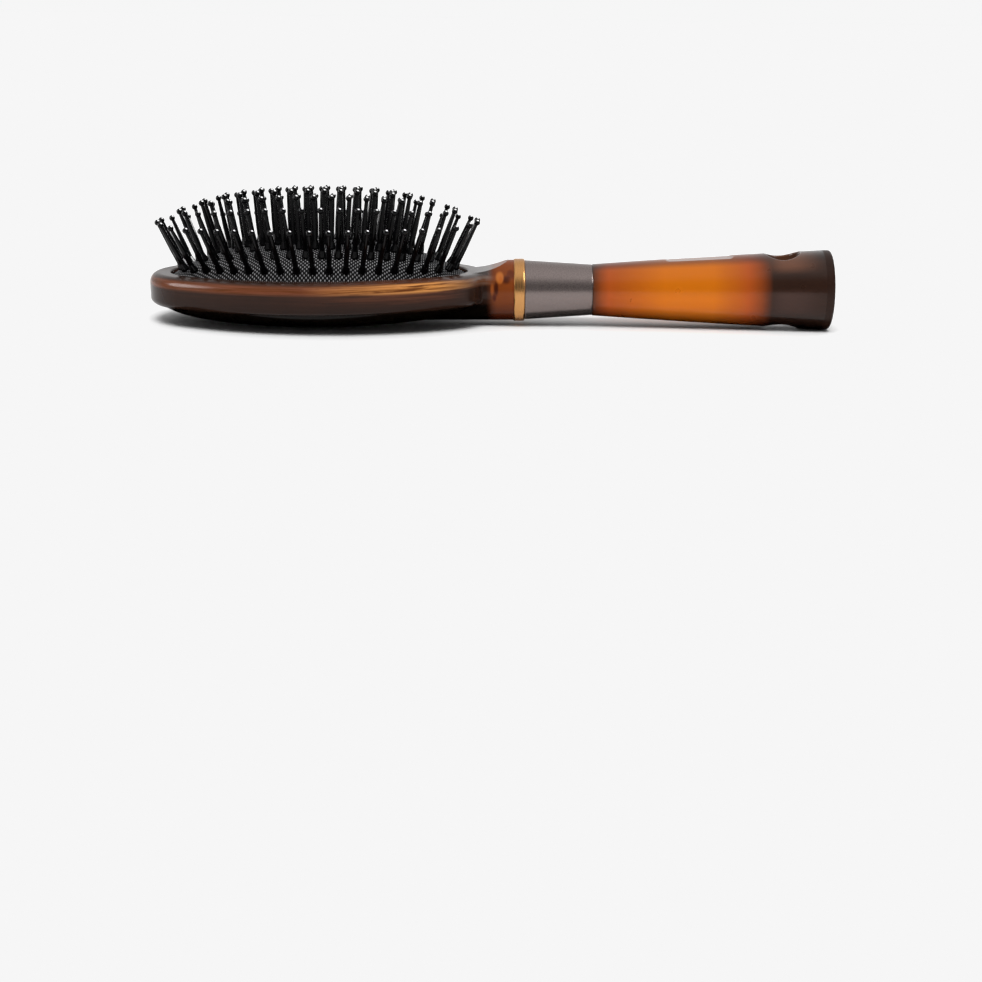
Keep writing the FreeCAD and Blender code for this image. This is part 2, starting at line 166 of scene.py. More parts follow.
def blended(tree, share, first, second):
    """Two colours, each a hex value or a socket, mixed by a share."""
    values = {}
    links = {0: share}
    for socket, colour in ((6, first), (7, second)):
        if isinstance(colour, str):
            values[socket] = linear(colour)
        else:
            links[socket] = colour
    return add_node(tree, "ShaderNodeMix", {"data_type": "RGBA"}, values, links).outputs[2]


def noise(tree, place, size, detail):
    """Soft cloudy shades from 0 to 1, with clouds of a size."""
    return add_node(
        tree, "ShaderNodeTexNoise", None, {"Scale": 1 / size, "Detail": detail}, {"Vector": place},
    ).outputs["Fac"]


def spread(tree, shades, low, high):
    """The shades of a noise, which stay mostly between 0.3 and 0.7, spread over a range."""
    return add_node(
        tree, "ShaderNodeMapRange", None,
        {"From Min": noise_low, "From Max": noise_high, "To Min": low, "To Max": high}, {"Value": shades},
    ).outputs["Result"]


def raised(tree, shades, height, strength):
    """A fine relief, as high as a length at a strength of 1."""
    return add_node(
        tree, "ShaderNodeBump", None, {"Strength": strength, "Distance": height}, {"Height": shades},
    ).outputs["Normal"]


def dyed_acrylic(name, tints, absorbed_per_mm, satin, bump_mm):
    """Dyed clear plastic. tints are its colours at the skin along the handle, absorbed_per_mm is how
    strongly each colour fades inside, satin the roughness."""
    finish, tree, place, out = new_finish(name)
    gloss = spread(tree, noise(tree, place, satin_patch, 3.0), satin - satin_change, satin + satin_change)
    relief = raised(tree, noise(tree, place, orange_peel, 2.0), bump_mm * mm, 1.0)
    at = add_node(tree, "ShaderNodeSeparateXYZ", None, None, {"Vector": place})
    along = at.outputs["X"]
    by_collar = patch(tree, along, *clear_from, end_clear, middle_clear)
    by_plug = patch(tree, along, *clear_to, middle_clear, end_clear)
    clear = worked(tree, "MINIMUM", by_plug, by_collar)
    radius = add_node(
        tree, "ShaderNodeMapRange", {"clamp": False},
        {"From Min": handle_along[0], "From Max": handle_along[1], "To Min": radii[0], "To Max": radii[1]},
        {"Value": along},
    ).outputs["Result"]
    rise = worked(tree, "DIVIDE", worked(tree, "SUBTRACT", at.outputs["Z"], axis_height), radius)
    # Painted light and shade by height on the tube: darkest at the top and bottom edges, lightest below the
    # middle.
    light = worked(tree, "MINIMUM", patch(tree, rise, *painted_light_below), patch(tree, rise, *painted_light_middle))
    light = worked(tree, "MULTIPLY", light, patch(tree, rise, *painted_light_above))
    tint = ramp(tree, along, handle_along, tints)
    tint = add_node(
        tree, "ShaderNodeVectorMath", {"operation": "SCALE"}, None, {0: tint, "Scale": light},
    ).outputs["Vector"]
    # Painted light near the plug: a lit band along the top of the handle and a paler one along its bottom.
    painted_lit_end = worked(tree, "MULTIPLY", patch(tree, along, *painted_lit_from), patch(tree, along, *painted_lit_to))
    for start, full, less, gone, painted_band_tint in painted_lit_bands:
        band = worked(tree, "MULTIPLY", patch(tree, rise, start, full), patch(tree, rise, gone, less))
        tint = blended(tree, worked(tree, "MULTIPLY", band, painted_lit_end), tint, painted_band_tint)
    shader = add_node(
        tree, "ShaderNodeBsdfPrincipled",
        values={
            "IOR": acrylic_ior, "Specular Tint": (skin_dim, skin_dim, skin_dim, 1.0),
            "Coat Weight": 1.0, "Coat IOR": coat_ior, "Coat Roughness": coat_roughness,
        },
        links={
            "Base Color": tint,
            "Transmission Weight": clear,
            "Roughness": gloss,
            "Normal": relief,
        },
    )
    strongest = max(absorbed_per_mm)
    passed = [1 - share / strongest for share in absorbed_per_mm]
    dye = add_node(
        tree, "ShaderNodeVolumeAbsorption",
        values={"Color": (*passed, 1.0), "Density": strongest / mm},
    )
    tree.links.new(shader.outputs["BSDF"], out.inputs["Surface"])
    tree.links.new(dye.outputs["Volume"], out.inputs["Volume"])
    return finish


handle_along = (35 * mm, 119 * mm)
core_brown = "3C2416"
deep_amber = "B05018"
amber = "D8740C"
plug_brown = "2C1A12"
handle_tints = (
    (0.0, core_brown), (0.07, deep_amber), (0.3, amber),
    (0.5, amber), (0.64, deep_amber), (0.74, plug_brown),
)
axis_height = 13.8 * mm
radii = (9.0 * mm, 13.8 * mm)
clear_from = (35 * mm, 46 * mm)
clear_to = (80 * mm, 97 * mm)
middle_clear = 0.28
end_clear = 0.1
# Heights of the painted light and shade, as shares of the radius from the axis.
painted_light_below = (-0.97, -0.4, 0.3, 1.28)
painted_light_middle = (-0.22, 0.22, 1.28, 1.0)
painted_light_above = (0.77, 0.97, 1.0, 0.4)
# Where along the handle the painted lit bands fade in and out, and each band's height span and colour.
painted_lit_from = (93 * mm, 102 * mm)
painted_lit_to = (117 * mm, 103 * mm)
painted_lit_bands = ((0.5, 0.76, 0.99, 1.05, "64402F"), (-0.65, -0.4, -0.05, 0.2, "442E27"))
absorbed = (0.045, 0.09, 0.75)
handle_satin = 0.3
handle_bump_mm = 0.004
amber_acrylic = dyed_acrylic(
    "Satin_amber_acrylic", handle_tints, absorbed, handle_satin, handle_bump_mm,
)
print("handle:", amber_acrylic.name)

# %% [markdown]
# ## Tortoise-brown plastic
# The two shells of the head are moulded from the same plastic with more dye, so they look dark brown.
# Where light gets into a thin or rounded place, at the shoulder round the cushion and in the neck, it glows
# orange, with streaks that the plastic left as it flowed into the mould. That glow is a painted glow, laid
# into the colour by place. Each part of it has its own range along the brush and in height, and a
# stretched noise breaks it up.
#
# The swirl in the neck is a few blobs, each an ellipsoid with a middle, a size and a colour. The bright
# blobs are a painted glow and the dark ones painted shade. The hollow ramp of the neck is shinier than the
# rest, so it mirrors the bright room behind the brush.

# %% Tortoise-brown plastic
# Painted glow on the shoulder: red towards the head's end, orange towards the neck, shade at the neck.
painted_glow_along = (-105 * mm, 0 * mm)
painted_glow_red = "70402C"
painted_glow_orange = "E09850"
rim_shade = "5A4438"
painted_glow_stops = ((0.0, painted_glow_red), (0.4, painted_glow_red), (0.82, painted_glow_orange), (0.95, rim_shade))
streak_size = (22 * mm, 14 * mm, 0.8 * mm)
streak_edges = (0.35, 0.65)
cloud_size = 14 * mm
# Height span where the painted shade of the underside gives way to the brown.
painted_underside_shade = (9.4 * mm, 11 * mm)
# Where the painted glow spills as a warmer brown onto the side band below the shoulder.
painted_warm_height = (12 * mm, 16 * mm)
painted_warm_along = (-75 * mm, -25 * mm, 0.1, 0.8)
painted_warm_end = (-6 * mm, -17 * mm)
shoulder_foot = (16.3 * mm, 17.6 * mm)
shoulder_top = (20.4 * mm, 19.3 * mm)
# Height span where the painted shade at the neck's bottom gives way to its painted glow.
painted_neck_shade_height = (4 * mm, 12 * mm)
neck_start = (-2 * mm, 2.4 * mm)
ramp_start = (-20 * mm, -10 * mm)
ramp_end = (1 * mm, -1 * mm)
ramp_height = (17 * mm, 19 * mm)
head_gloss = (0.18, 0.26)
head_bump = 0.003 * mm
head_shine = 0.16
ramp_shine = 0.6
# The swirl's bright blobs are a painted glow, its dark blobs painted shade.
painted_swirls = (
    ((6.7 * mm, -8 * mm, 20.2 * mm), (1.7 * mm, 3 * mm, 2.2 * mm), "5A2812"),
    ((5.2 * mm, -8 * mm, 18.2 * mm), (2.3 * mm, 3 * mm, 2.2 * mm), "451C0C"),
    ((0.4 * mm, -9 * mm, 15.2 * mm), (0.9 * mm, 3 * mm, 3.0 * mm), "84441C"),
    ((1.8 * mm, -9 * mm, 15.3 * mm), (1.2 * mm, 3 * mm, 3.6 * mm), "3C1608"),
    ((1.2 * mm, -9 * mm, 12.6 * mm), (1.0 * mm, 3 * mm, 2.0 * mm), "4A1C0C"),
    ((3.0 * mm, -8 * mm, 18.8 * mm), (1.9 * mm, 3 * mm, 3.0 * mm), "A85F26"),
    ((3.4 * mm, -8 * mm, 18.4 * mm), (1.0 * mm, 3 * mm, 1.7 * mm), "A4561E"),
)


def blob(tree, place, middle, size):
    """1 at a point and 0 on the outside of an ellipsoid of that size."""
    shifted = add_node(tree, "ShaderNodeVectorMath", {"operation": "SUBTRACT"}, {1: middle}, {0: place})
    scaled = add_node(
        tree, "ShaderNodeVectorMath", {"operation": "DIVIDE"}, {1: size}, {0: shifted.outputs["Vector"]},
    )
    far = add_node(
        tree, "ShaderNodeVectorMath", {"operation": "LENGTH"}, None, {0: scaled.outputs["Vector"]},
    )
    return patch(tree, far.outputs["Value"], 1.0, 0.5)


def tortoise_brown():
    """Dark brown plastic with a painted glow round the cushion and in the neck, painted shade below it, and
    a swirl of painted glow and shade.
    """
    finish, tree, place, out = new_finish("Satin_tortoise_brown_acrylic")
    at = add_node(tree, "ShaderNodeSeparateXYZ", None, None, {"Vector": place})
    along = at.outputs["X"]
    height = at.outputs["Z"]
    stretched = add_node(
        tree, "ShaderNodeMapping", None,
        {"Scale": tuple(1 / size for size in streak_size)}, {"Vector": place},
    )
    streaks = add_node(
        tree, "ShaderNodeTexNoise", None,
        {"Scale": 1.0, "Detail": 4.0, "Roughness": 0.6, "Distortion": 0.6},
        {"Vector": stretched.outputs["Vector"]},
    )
    streak = patch(tree, streaks.outputs["Fac"], *streak_edges)
    clouds = noise(tree, place, cloud_size, 3.0)
    colour = blended(tree, clouds, "20120C", "2E1C14")
    # Painted shade: the shells are painted near black below the band, where the underside faces the shadowed
    # table.
    colour = blended(tree, patch(tree, height, *painted_underside_shade), "0A0604", colour)
    # Painted glow: a warmer brown on the side band, along the same stretch where the shoulder glows.
    painted_warmth = worked(tree, "MULTIPLY", patch(tree, height, *painted_warm_height), patch(tree, along, *painted_warm_along))
    painted_warmth = worked(tree, "MULTIPLY", painted_warmth, patch(tree, along, *painted_warm_end))
    colour = blended(tree, painted_warmth, colour, blended(tree, streak, "3E2216", "5E3522"))
    # Painted glow on the shoulder round the cushion, broken up by the flow streaks.
    glow = blended(tree, streak, "5A3016", ramp(tree, along, painted_glow_along, painted_glow_stops))
    shoulder = worked(
        tree, "MULTIPLY", patch(tree, height, *shoulder_foot), patch(tree, height, *shoulder_top),
    )
    colour = blended(tree, shoulder, colour, glow)
    # Painted glow in the neck, with painted shade towards its bottom.
    painted_neck_glow = blended(tree, clouds, "64300F", "823E18")
    painted_neck_glow = blended(tree, patch(tree, height, *painted_neck_shade_height), "3A1408", painted_neck_glow)
    colour = blended(tree, patch(tree, along, *neck_start), colour, painted_neck_glow)
    # Painted glow and shade of the swirl, blob by blob.
    for middle, size, painted_swirl_colour in painted_swirls:
        colour = blended(tree, blob(tree, place, middle, size), colour, painted_swirl_colour)
    gloss = patch(tree, clouds, noise_low, noise_high, *head_gloss)
    relief = raised(tree, noise(tree, place, orange_peel, 2.0), head_bump, 1.0)
    on_ramp = worked(tree, "MULTIPLY", patch(tree, along, *ramp_start), patch(tree, along, *ramp_end))
    polish = worked(tree, "MULTIPLY", on_ramp, patch(tree, height, *ramp_height))
    polish = worked(tree, "ADD", worked(tree, "MULTIPLY", polish, ramp_shine), head_shine)
    shader = add_node(
        tree, "ShaderNodeBsdfPrincipled", None, {"IOR": acrylic_ior},
        {"Base Color": colour, "Roughness": gloss, "Normal": relief, "Specular IOR Level": polish},
    )
    tree.links.new(shader.outputs["BSDF"], out.inputs["Surface"])
    return finish


brown_acrylic = tortoise_brown()
print("head:", brown_acrylic.name)

# %% [markdown]
# ## Black nylon
# The pins are moulded from black nylon. It is glossy where the mould was polished, and has a faint cloudy
# grain. A dark base colour with a low roughness gives black pins with small bright lights.

# %% Black nylon
plastic_ior = 1.5
nylon_grain = 2 * mm


def black_nylon():
    """Polished black with a faint grain."""
    finish, tree, place, out = new_finish("Glossy_black_nylon")
    grain = noise(tree, place, nylon_grain, 2.0)
    shader = add_node(
        tree, "ShaderNodeBsdfPrincipled", None,
        {"Base Color": linear("040405"), "IOR": plastic_ior, "Specular IOR Level": 0.16},
        {"Roughness": spread(tree, grain, 0.07, 0.11), "Normal": raised(tree, grain, 0.003 * mm, 0.5)},
    )
    tree.links.new(shader.outputs["BSDF"], out.inputs["Surface"])
    return finish


pin_nylon = black_nylon()
print("pins:", pin_nylon.name)

# %% [markdown]
# ## Dark plastic
# The plug and the core are dark brown plastic, seen mostly through the amber walls. The core's end in the
# handle is painted pale, as painted light that stands in for the light coming through the amber wall. A dark
# one would show through the wall as a brown stain.

# %% Dark brown plastic
plug_cloud = 6 * mm
# Where the painted pale light on the core's end begins and ends along the handle.
painted_pale_from = (35.4 * mm, 37 * mm)
painted_pale_to = (50 * mm, 48 * mm)


def dark_plastic():
    """Dark brown, with a painted pale light on the core's end where it stands in the handle."""
    finish, tree, place, out = new_finish("Dark_brown_plastic")
    cloud = noise(tree, place, plug_cloud, 3.0)
    shades = blended(tree, cloud, "22130D", "2E1C14")
    at = add_node(tree, "ShaderNodeSeparateXYZ", None, None, {"Vector": place})
    along = at.outputs["X"]
    # Painted light: the core's end in the handle is painted pale instead of dark brown.
    painted_light_in_handle = worked(tree, "MULTIPLY", patch(tree, along, *painted_pale_from), patch(tree, along, *painted_pale_to))
    shades = blended(tree, painted_light_in_handle, shades, "F2C890")
    shader = add_node(
        tree, "ShaderNodeBsdfPrincipled", None, {"IOR": plastic_ior, "Specular IOR Level": 0.15},
        {"Base Color": shades, "Roughness": spread(tree, cloud, 0.34, 0.42)},
    )
    tree.links.new(shader.outputs["BSDF"], out.inputs["Surface"])
    return finish


plug_plastic = dark_plastic()
print("plug and core:", plug_plastic.name)

# %% [markdown]
# ## Gold and lacquer
# The ring is plated in a soft yellow gold and turned, so it has fine lines that run round it.
# The collar is sprayed with a taupe pearl lacquer, which has fine metal flakes under a satin coat.

# %% Gold ring
line_size = (0.12 * mm, 4 * mm, 4 * mm)


def turned_gold():
    """Gold with fine lines round the ring."""
    finish, tree, place, out = new_finish("Satin_gold_plate")
    stretched = add_node(
        tree, "ShaderNodeMapping", None, {"Scale": tuple(1 / size for size in line_size)}, {"Vector": place},
    )
    lines = add_node(
        tree, "ShaderNodeTexNoise", None, {"Scale": 1.0, "Detail": 2.0},
        {"Vector": stretched.outputs["Vector"]},
    ).outputs["Fac"]
    shader = add_node(
        tree, "ShaderNodeBsdfPrincipled", None, {"Base Color": linear("C9945C"), "Metallic": 1.0},
        {"Roughness": spread(tree, lines, 0.24, 0.36), "Normal": raised(tree, lines, 0.006 * mm, 0.6)},
    )
    tree.links.new(shader.outputs["BSDF"], out.inputs["Surface"])
    return finish


ring_gold = turned_gold()
print("ring:", ring_gold.name)

# %% Taupe collar
flake_size = 0.25 * mm


def pearl_lacquer():
    """Taupe lacquer whose flakes differ a little in shade and gloss."""
    finish, tree, place, out = new_finish("Taupe_pearl_lacquer")
    flakes = add_node(
        tree, "ShaderNodeTexVoronoi", None, {"Scale": 1 / flake_size}, {"Vector": place},
    )
    glitter = add_node(
        tree, "ShaderNodeMix", {"data_type": "RGBA"},
        {6: linear("7C716E"), 7: linear("827774")}, {0: flakes.outputs["Color"]},
    )
    gloss = add_node(
        tree, "ShaderNodeMapRange",
        values={"To Min": 0.26, "To Max": 0.3}, links={"Value": flakes.outputs["Distance"]},
    )
    shader = add_node(
        tree, "ShaderNodeBsdfPrincipled", None,
        {"Metallic": 0.85, "IOR": plastic_ior},
        {"Base Color": glitter.outputs[2], "Roughness": gloss.outputs["Result"]},
    )
    tree.links.new(shader.outputs["BSDF"], out.inputs["Surface"])
    return finish


collar_lacquer = pearl_lacquer()
print("collar:", collar_lacquer.name)

# %% [markdown]
# ## Hand out the finishes
# The measured pieces keep their meshes. Each gets its finish through its own material slots.

# %% Finishes on the measured pieces
finishes = {
    "handle_tube": amber_acrylic,
    "back_shell": brown_acrylic,
    "front_frame": brown_acrylic,
    "end_plug": plug_plastic,
    "joining_core": plug_plastic,
    "neck_ring": ring_gold,
    "collar": collar_lacquer,
}
pin_nodes = [
    "pins_outer_ring", "pins_second_ring", "pins_third_ring", "pins_inner_ring", "pins_centre_row",
]
for name in pin_nodes:
    finishes[name] = pin_nylon
for name, finish in finishes.items():
    for slot in nodes[name].material_slots:
        slot.material = finish
print("finished:", ", ".join(finishes))

# %% [markdown]
# ## The rubber cushion
# The pins stand in a domed sheet of black rubber over an air chamber. Its skin is moulded with a fine
# lattice of raised dots, set at 45 degrees to the brush. The dots are real shape here: a turned grid is
# laid over the dome and every second vertex each way is raised. The plan of the dome is an oval of four
# arcs. Each smaller copy of that oval stands higher, by the cube of its size, as on the measured rubber.

# %% Sizes of the cushion
head_middle_x = -60.0 * mm
dome_half_length = 51.5 * mm
dome_half_width = 28.5 * mm
dome_end_radius = 18.5 * mm
flange_top_z = 19.1 * mm
dome_rise = 11.7 * mm
flange_reach = 3.5 * mm
rubber_wall = 1.4 * mm
dot_pitch = 1.0 * mm
dot_height = 0.17 * mm
dome_end_centre = dome_half_length - dome_end_radius
dome_spare = dome_end_centre ** 2 + dome_half_width ** 2 - dome_end_radius ** 2
dome_side_radius = dome_spare / (2 * (dome_half_width - dome_end_radius))
dome_side_centre = dome_side_radius - dome_half_width
dome_corner_angle = math.atan2(
    dome_end_radius * math.sin(math.atan2(dome_side_centre, dome_end_centre)),
    dome_end_centre + dome_end_radius * math.cos(math.atan2(dome_side_centre, dome_end_centre)),
)


def oval_reach(angle):
    """How far the dome's oval reaches from its middle in a direction."""
    turn = math.atan2(abs(math.sin(angle)), abs(math.cos(angle)))
    if turn < dome_corner_angle:
        centre = (dome_end_centre, 0)
        radius = dome_end_radius
    else:
        centre = (0, -dome_side_centre)
        radius = dome_side_radius
    towards = centre[0] * math.cos(turn) + centre[1] * math.sin(turn)
    aside = centre[0] * math.sin(turn) - centre[1] * math.cos(turn)
    return towards + math.sqrt(radius ** 2 - aside ** 2)


print("the dome's side arcs have a radius of", round(dome_side_radius / mm, 1), "mm")

# %% Lay the lattice over the dome
grid_step = dot_pitch / 2
grid_half = 50 * mm
grid_cells = round(2 * grid_half / grid_step)
bpy.ops.mesh.primitive_grid_add(
    x_subdivisions=grid_cells, y_subdivisions=grid_cells, size=2 * grid_half,
    location=(head_middle_x, 0, flange_top_z), rotation=(0, 0, math.radians(45)),
)
rubber_pad = bpy.context.object
rubber_pad.name = "rubber_pad"
bpy.ops.object.transform_apply(location=True, rotation=True, scale=True)
half_turn = math.sqrt(1 / 2)
dots = rubber_pad.data.attributes.new("dot", "FLOAT", "POINT")
beyond = []
for vertex in rubber_pad.data.vertices:
    x = vertex.co.x - head_middle_x
    y = vertex.co.y
    column = round((x + y) * half_turn / grid_step)
    row = round((y - x) * half_turn / grid_step)
    distance = math.hypot(x, y)
    reach = oval_reach(math.atan2(y, x))
    beyond.append(distance > reach + flange_reach)
    share = min(1.0, distance / reach)
    raised = 1.0 if column % 2 == 0 and row % 2 == 0 and share < 1 else 0.0
    dots.data[vertex.index].value = raised
    vertex.co.z = flange_top_z + dome_rise * (1 - share ** 3) - dot_height * (1 - raised)
print("vertices in the lattice:", len(rubber_pad.data.vertices))

# %% Trim the sheet and give it its wall
bpy.ops.object.mode_set(mode="EDIT")
bpy.ops.mesh.select_all(action="DESELECT")
bpy.ops.mesh.select_mode(type="VERT")
bpy.ops.object.mode_set(mode="OBJECT")
for vertex, outside in zip(rubber_pad.data.vertices, beyond):
    vertex.select = outside
bpy.ops.object.mode_set(mode="EDIT")
bpy.ops.mesh.delete(type="VERT")
bpy.ops.object.mode_set(mode="OBJECT")
wall = rubber_pad.modifiers.new("wall", "SOLIDIFY")
wall.thickness = rubber_wall
wall.offset = -1.0
bpy.ops.object.modifier_apply(modifier=wall.name)
bpy.ops.object.shade_smooth_by_angle(angle=math.radians(60))
print("rubber pad faces:", len(rubber_pad.data.polygons))

# %% Black rubber
def moulded_rubber():
    """Black rubber, paler on the tips of its dots."""
    finish, tree, place, out = new_finish("Moulded_black_rubber")
    dot = add_node(tree, "ShaderNodeAttribute", {"attribute_name": "dot"}).outputs["Fac"]
    tip_shades = add_node(
        tree, "ShaderNodeTexNoise", None, {"Scale": 1 / (5 * mm), "Detail": 3.0}, {"Vector": place},
    )
    tip_share = add_node(
        tree, "ShaderNodeMapRange", None,
        {"From Min": 0.35, "From Max": 0.8, "To Min": 0.0, "To Max": 1.0}, {"Value": dot},
    )
    tip_colour = add_node(
        tree, "ShaderNodeMix", {"data_type": "RGBA"},
        {6: linear("8A8A8C"), 7: linear("B0B0B2")}, {0: tip_shades.outputs["Fac"]},
    )
    colour = add_node(
        tree, "ShaderNodeMix", {"data_type": "RGBA"},
        {6: linear("0A0A0B")}, {0: tip_share.outputs["Result"], 7: tip_colour.outputs[2]},
    )
    shader = add_node(
        tree, "ShaderNodeBsdfPrincipled", None,
        {"Roughness": 0.55, "IOR": plastic_ior, "Specular IOR Level": 0.05},
        {"Base Color": colour.outputs[2]},
    )
    tree.links.new(shader.outputs["BSDF"], out.inputs["Surface"])
    return finish


rubber_pad.data.materials.clear()
rubber_pad.data.materials.append(moulded_rubber())
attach(rubber_pad, "root")
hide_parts("cushion_pad")
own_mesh(rubber_pad)

# %% [markdown]
# ## The table
# The brush lies on its back on a white table, so it touches with the dome of its head and with its end.
# Those two are not equally low, so the table leans under it by less than one degree. The lean is worked
# out from the shell's own points, as the steepest one at which none of them goes through the table.

# %% Table
handle_touch = Vector((115.5 * mm, 0, 0))
shell = nodes["back_shell"]
shell_points = [shell.matrix_world @ vertex.co for vertex in shell.data.vertices]
lean = min(math.atan2(point.z, handle_touch.x - point.x) for point in shell_points)
table_half = 30.0
table_albedo = 0.95
bpy.ops.object.select_all(action="DESELECT")
bpy.ops.mesh.primitive_plane_add(size=2 * table_half, location=handle_touch, rotation=(0, lean, 0))
table = bpy.context.object
table.name = "table"
table_finish, tree, place, out = new_finish("Matt_white_board")
table_shader = add_node(
    tree, "ShaderNodeBsdfPrincipled", None,
    {
        "Base Color": (table_albedo, table_albedo, table_albedo, 1), "Roughness": 0.9,
        "Specular IOR Level": 0.0,
    },
)
tree.links.new(table_shader.outputs["BSDF"], out.inputs["Surface"])
table.data.materials.append(table_finish)
print("the table leans by", round(math.degrees(lean), 2), "degrees")

# %% [markdown]
# ## The room and the lamp
# A product picture has a pale, even ground. Two things make it here. The table is lit a quarter brighter
# than the ground, and a curve on the picture cuts everything off at the shade F6F6F6, as a printer would.
# So the ground is even, and a shadow shows only where it takes away more than a fifth of the light.
#
# The room is dim in front, bright straight above and pale behind. The brush mirrors it, and the camera
# sees plain F6F6F6. The sum below adds up the light that this room throws on the table, and the lamp
# gets the strength that is still missing.

# %% Room
scene = bpy.context.scene
scene.view_settings.view_transform = "Standard"
ground_white = linear("F6F6F6")[0]
over_exposed = 1.25
scene.view_settings.use_curve_mapping = True
print_curve = scene.view_settings.curve_mapping
print_curve.extend = "HORIZONTAL"
brightest = print_curve.curves[3].points.new(ground_white, ground_white)
brightest.handle_type = "VECTOR"
for point in print_curve.curves[3].points:
    point.handle_type = "VECTOR"
print_curve.curves[3].points[2].location = (1.0, ground_white)
print_curve.update()
room = bpy.data.worlds.new("Pale_room")
room.use_nodes = True
tree = room.node_tree
tree.nodes.clear()
front_dim = 0.14
top_bright = 0.9
backdrop = 0.75
rise_low = 0.5
rise_high = 0.93
back_low = 0.05
back_high = 0.5
where = add_node(tree, "ShaderNodeTexCoord").outputs["Generated"]
towards = add_node(tree, "ShaderNodeSeparateXYZ", None, None, {"Vector": where})
sky = add_node(
    tree, "ShaderNodeMapRange", {"interpolation_type": "SMOOTHSTEP"},
    {"From Min": rise_low, "From Max": rise_high, "To Min": front_dim, "To Max": top_bright},
    {"Value": towards.outputs["Z"]},
)
behind = add_node(
    tree, "ShaderNodeMapRange", {"interpolation_type": "SMOOTHSTEP"},
    {"From Min": back_low, "From Max": back_high, "To Min": 0.0, "To Max": 1.0},
    {"Value": towards.outputs["Y"]},
)
room_light = add_node(
    tree, "ShaderNodeMix", {"data_type": "FLOAT"}, {3: backdrop},
    {0: behind.outputs["Result"], 2: sky.outputs["Result"]},
)
rays = add_node(tree, "ShaderNodeLightPath")
seen = add_node(
    tree, "ShaderNodeMix", {"data_type": "FLOAT"}, {3: ground_white},
    {0: rays.outputs["Is Camera Ray"], 2: room_light.outputs[0]},
)
background = add_node(
    tree, "ShaderNodeBackground", None, {"Color": linear("FFFFFF")}, {"Strength": seen.outputs[0]},
)
add_node(tree, "ShaderNodeOutputWorld", None, None, {"Surface": background.outputs["Background"]})
scene.world = room


def smooth(value, low, high):
    """The same soft step as the shader's, for the sum."""
    share = min(1.0, max(0.0, (value - low) / (high - low)))
    return share * share * (3 - 2 * share)


samples = 90
room_on_table = 0.0
for i in range(samples):
    rise = math.radians((i + 0.5) * 90 / samples)
    for j in range(4 * samples):
        turn = math.radians((j + 0.5) * 90 / samples)
        front = front_dim + (top_bright - front_dim) * smooth(math.sin(rise), rise_low, rise_high)
        share = smooth(math.cos(rise) * math.sin(turn), back_low, back_high)
        light = front + (backdrop - front) * share
        room_on_table += light * math.sin(rise) * math.cos(rise) * math.radians(90 / samples) ** 2
room_on_table /= math.pi
print("the room alone lights the table with", round(room_on_table, 3))

# %% Lamp
lamp_rise = math.radians(56)
lamp = bpy.data.lights.new("wide_lamp", "SUN")
lamp.angle = math.radians(30)
missing = over_exposed * ground_white / table_albedo - room_on_table
lamp.energy = missing * math.pi / math.sin(lamp_rise)
lamp_object = bpy.data.objects.new("wide_lamp", lamp)
lamp_object.rotation_euler = (math.pi / 2 - lamp_rise, 0, 0)
lamp_object.visible_glossy = False
lamp_object.visible_transmission = False
scene.collection.objects.link(lamp_object)
print("lamp strength:", round(lamp.energy, 2))

# %% [markdown]
# ## Cards and paper for the reflections
# Photographers place white cards to put lights on glossy things. The black paper here is a painted shadow:
# it lies where the brush's shadow falls on the table, so the glossy skins mirror it as dark. Both are seen
# only by glossy rays, so they change the reflections and nothing else.
#
# One card shines on everything from the head's end. One shines from the other side on the collar and its
# neighbours, and a strong one on the pins alone. A collection of receivers does that, which is called
# light linking. The cards' material adds a clear shader to the light, because a card would otherwise hide
# the room from the pieces that it doesn't shine on.
#
# The painted shadow paper lies under the brush in four strips, with a gap under the gold ring, which stays
# bright.

# %% Bright cards that only glossy skins see
card_aim = Vector((head_middle_x, 0, flange_top_z))
card_distance = 2.0
head_way = Vector((-0.9, -0.2, 0.4))
collar_way = Vector((0.74, -0.2, 0.64))
shoulder_strength = 15.0
shoulder_card_radius = 0.5
pin_way = Vector((0.35, 0.15, 0.92))
pin_strength = 66.0
pin_card_radius = 1.05


def only(name, receivers):
    """A group of nodes for a card that shines on them alone."""
    group = bpy.data.collections.new(name)
    for receiver in receivers:
        group.objects.link(nodes[receiver])
    return group



def card(way, radius, strength, receivers):
    """A round card that shines from one side, on a group of receivers, or on all with None."""
    finish, tree, place, out = new_finish("Bright_card")
    light = add_node(tree, "ShaderNodeEmission", None, {"Color": linear("FFFFFF"), "Strength": strength})
    see_through = add_node(tree, "ShaderNodeBsdfTransparent")
    both = add_node(
        tree, "ShaderNodeAddShader", None, None,
        {0: light.outputs["Emission"], 1: see_through.outputs["BSDF"]},
    )
    tree.links.new(both.outputs["Shader"], out.inputs["Surface"])
    bpy.ops.mesh.primitive_circle_add(
        vertices=32, radius=radius, fill_type="NGON", location=card_aim + card_distance * way,
        rotation=way.to_track_quat("Z", "Y").to_euler(),
    )
    made = bpy.context.object
    made.name = "bright_card"
    made.data.materials.append(finish)
    made.visible_camera = False
    made.visible_diffuse = False
    made.visible_transmission = False
    made.visible_shadow = False
    made.light_linking.receiver_collection = receivers


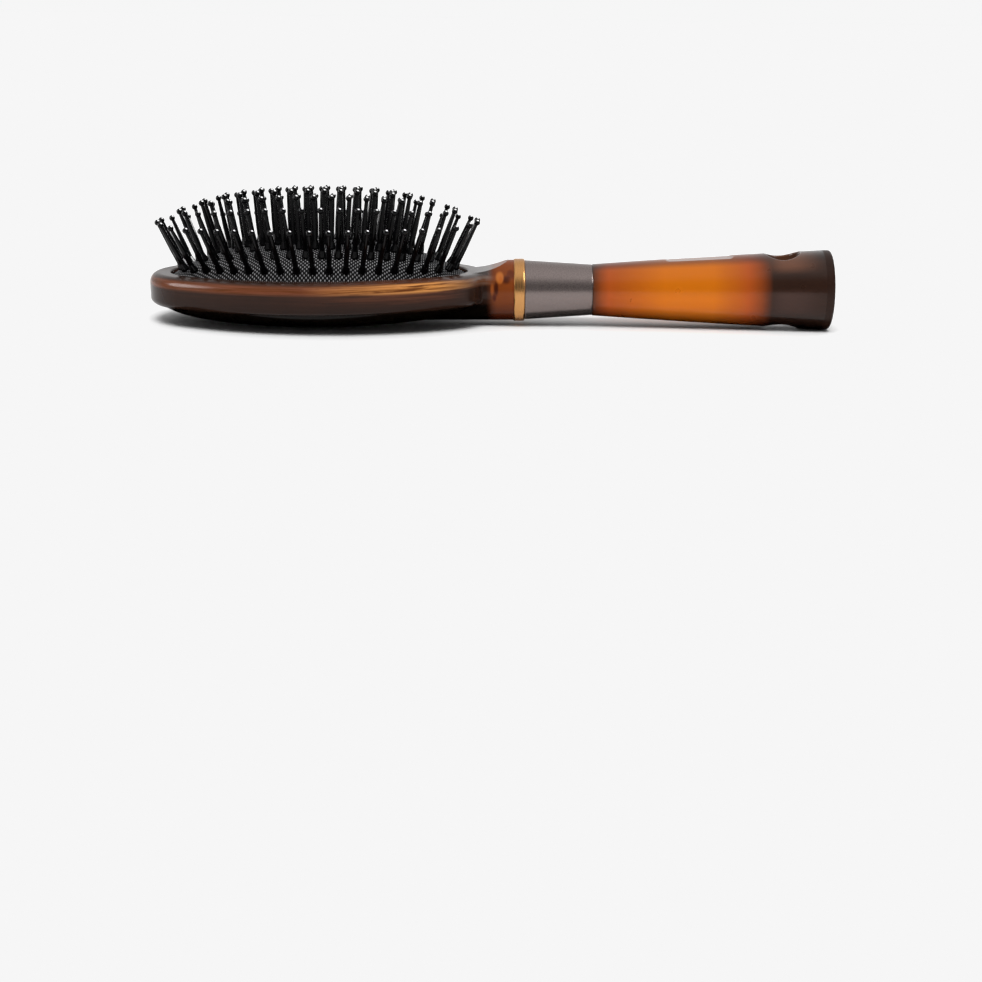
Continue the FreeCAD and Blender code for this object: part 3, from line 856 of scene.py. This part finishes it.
card(head_way, shoulder_card_radius, shoulder_strength, None)
only_collar = only("only_collar", ("collar", "neck_ring", "handle_tube"))
card(collar_way, shoulder_card_radius, shoulder_strength, only_collar)
card(pin_way, pin_card_radius, pin_strength, only("only_pins", pin_nodes))
card_width = 2 * math.degrees(math.atan(pin_card_radius / card_distance))
print("the card over the pins is", round(card_width, 1), "degrees wide")

# %% Black paper as a painted shadow under the brush, seen only by glossy skins
# Painted shadow: a black sheet where the brush's shadow falls, seen only in reflections.
painted_shadow_paper, tree, place, out = new_finish("Painted_shadow_black_paper")
paper_shader = add_node(tree, "ShaderNodeBsdfDiffuse", None, {"Color": linear("050505")})
tree.links.new(paper_shader.outputs["BSDF"], out.inputs["Surface"])
paper_lift = 0.1 * mm
paper_back = 60 * mm
strips = (
    (-114 * mm, 0, -30 * mm), (0, 8 * mm, -7 * mm),
    (12 * mm, 36 * mm, -7 * mm), (36 * mm, 121 * mm, -10.5 * mm),
)
for start, end, front in strips:
    middle = (start + end) / 2
    height = (handle_touch.x - middle) * math.tan(lean) + paper_lift
    bpy.ops.mesh.primitive_plane_add(
        size=1, rotation=(0, lean, 0), location=(middle, (front + paper_back) / 2, height),
    )
    strip = bpy.context.object
    strip.name = "painted_shadow_black_paper"
    strip.scale = (end - start, paper_back - front, 1)
    strip.data.materials.append(painted_shadow_paper)
    strip.visible_camera = False
    strip.visible_diffuse = False
    strip.visible_transmission = False
    strip.visible_shadow = False
print("paper strips:", len(strips))

# %% [markdown]
# ## The camera
# It looks from the side, a little from above, with the brush in the upper half of the picture.

# %% Camera
picture_width_px = 982
sensor_width_mm = 36
px_size_mm = 0.3529
view_distance = 650 * mm
view_rise = math.radians(8.3)
aim = Vector((0, 0, 13.8 * mm))
picture_middle_px = 491
brush_axis_px = 289.7
axis_above_middle_px = picture_middle_px - brush_axis_px
tip_down = view_rise + math.atan(axis_above_middle_px * px_size_mm * mm / view_distance)
camera_data = bpy.data.cameras.new("camera")
camera_data.sensor_width = sensor_width_mm
camera_data.lens = sensor_width_mm * view_distance / (picture_width_px * px_size_mm * mm)
camera = bpy.data.objects.new("camera", camera_data)
camera.location = aim + view_distance * Vector((0, -math.cos(view_rise), math.sin(view_rise)))
camera.rotation_euler = (math.pi / 2 - tip_down, 0, 0)
scene.collection.objects.link(camera)
scene.camera = camera
print("lens:", round(camera_data.lens, 1), "mm")
print("tipped down by", round(math.degrees(tip_down), 1), "degrees")
